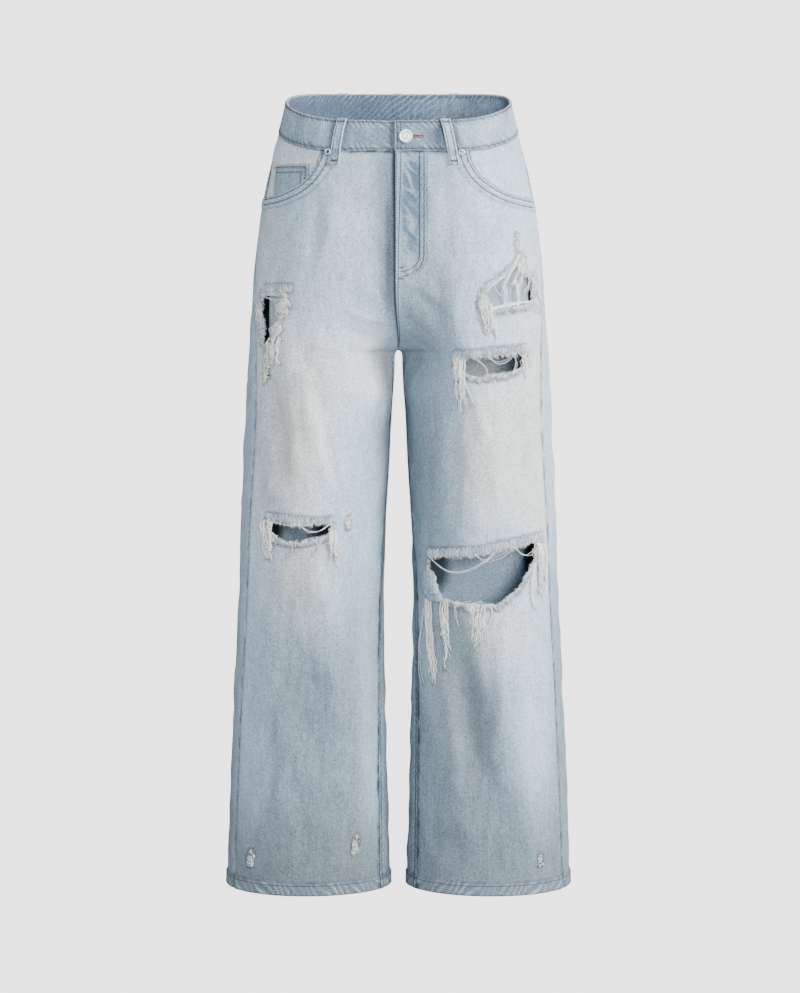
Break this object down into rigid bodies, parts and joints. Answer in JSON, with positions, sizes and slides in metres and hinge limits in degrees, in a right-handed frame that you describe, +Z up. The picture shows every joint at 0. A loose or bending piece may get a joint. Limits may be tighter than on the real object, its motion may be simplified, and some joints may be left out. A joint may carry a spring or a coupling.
{
  "type": "ripped jeans",
  "caption": "Wide-leg five-pocket denim jeans with a fly, a shank button and belt loops, ripped and frayed at thighs and knees, filled out as if worn.",
  "frame": {"origin": "middle of the waist, at the height of the waistband's middle at the side seams, where the wearer's waist holds the jeans", "axes": "+Z up the legs to the waist, -Y is the front, +X is the wearer's left"},
  "size_m": [0.4544, 0.2544, 1.0461],
  "materials": {
    "denim": "light stone-washed blue denim, twill weave, faded to off-white on the thighs and knees",
    "pocketing": "thin plain cotton pocketing, light grey-blue",
    "button_metal": "bright nickel-plated shank button with a raised ring",
    "rivet_metal": "small dulled metal rivets",
    "thread": "loose off-white cotton weft threads in hanging tassels"
  },
  "bodies": {
    "root": {"front_left_panel": "denim", "front_right_panel": "denim", "back_left_panel": "denim", "back_right_panel": "denim", "yoke_left": "denim", "yoke_right": "denim", "waistband": "denim", "fly_underlap": "denim", "pocket_facing_left": "denim", "pocket_facing_right": "denim", "coin_pocket": "denim", "back_pocket_left": "denim", "back_pocket_right": "denim", "pocket_bag_left": "pocketing", "pocket_bag_right": "pocketing", "belt_loop_front_left": "denim", "belt_loop_front_right": "denim", "belt_loop_side_left": "denim", "belt_loop_side_right": "denim", "belt_loop_back": "denim", "waist_button": "button_metal", "rivet_left": "rivet_metal", "rivet_right": "rivet_metal", "fringe_knee_right_outer": "thread", "fringe_knee_right_inner": "thread", "fringe_thigh_left": "thread", "fringe_hip_left": "thread", "fringe_knee_left_a": "thread", "fringe_knee_left_b": "thread", "fringe_knee_left_c": "thread", "fringe_knee_left_outer": "thread", "fringe_thigh_right": "thread"}
  },
  "joints": []
}
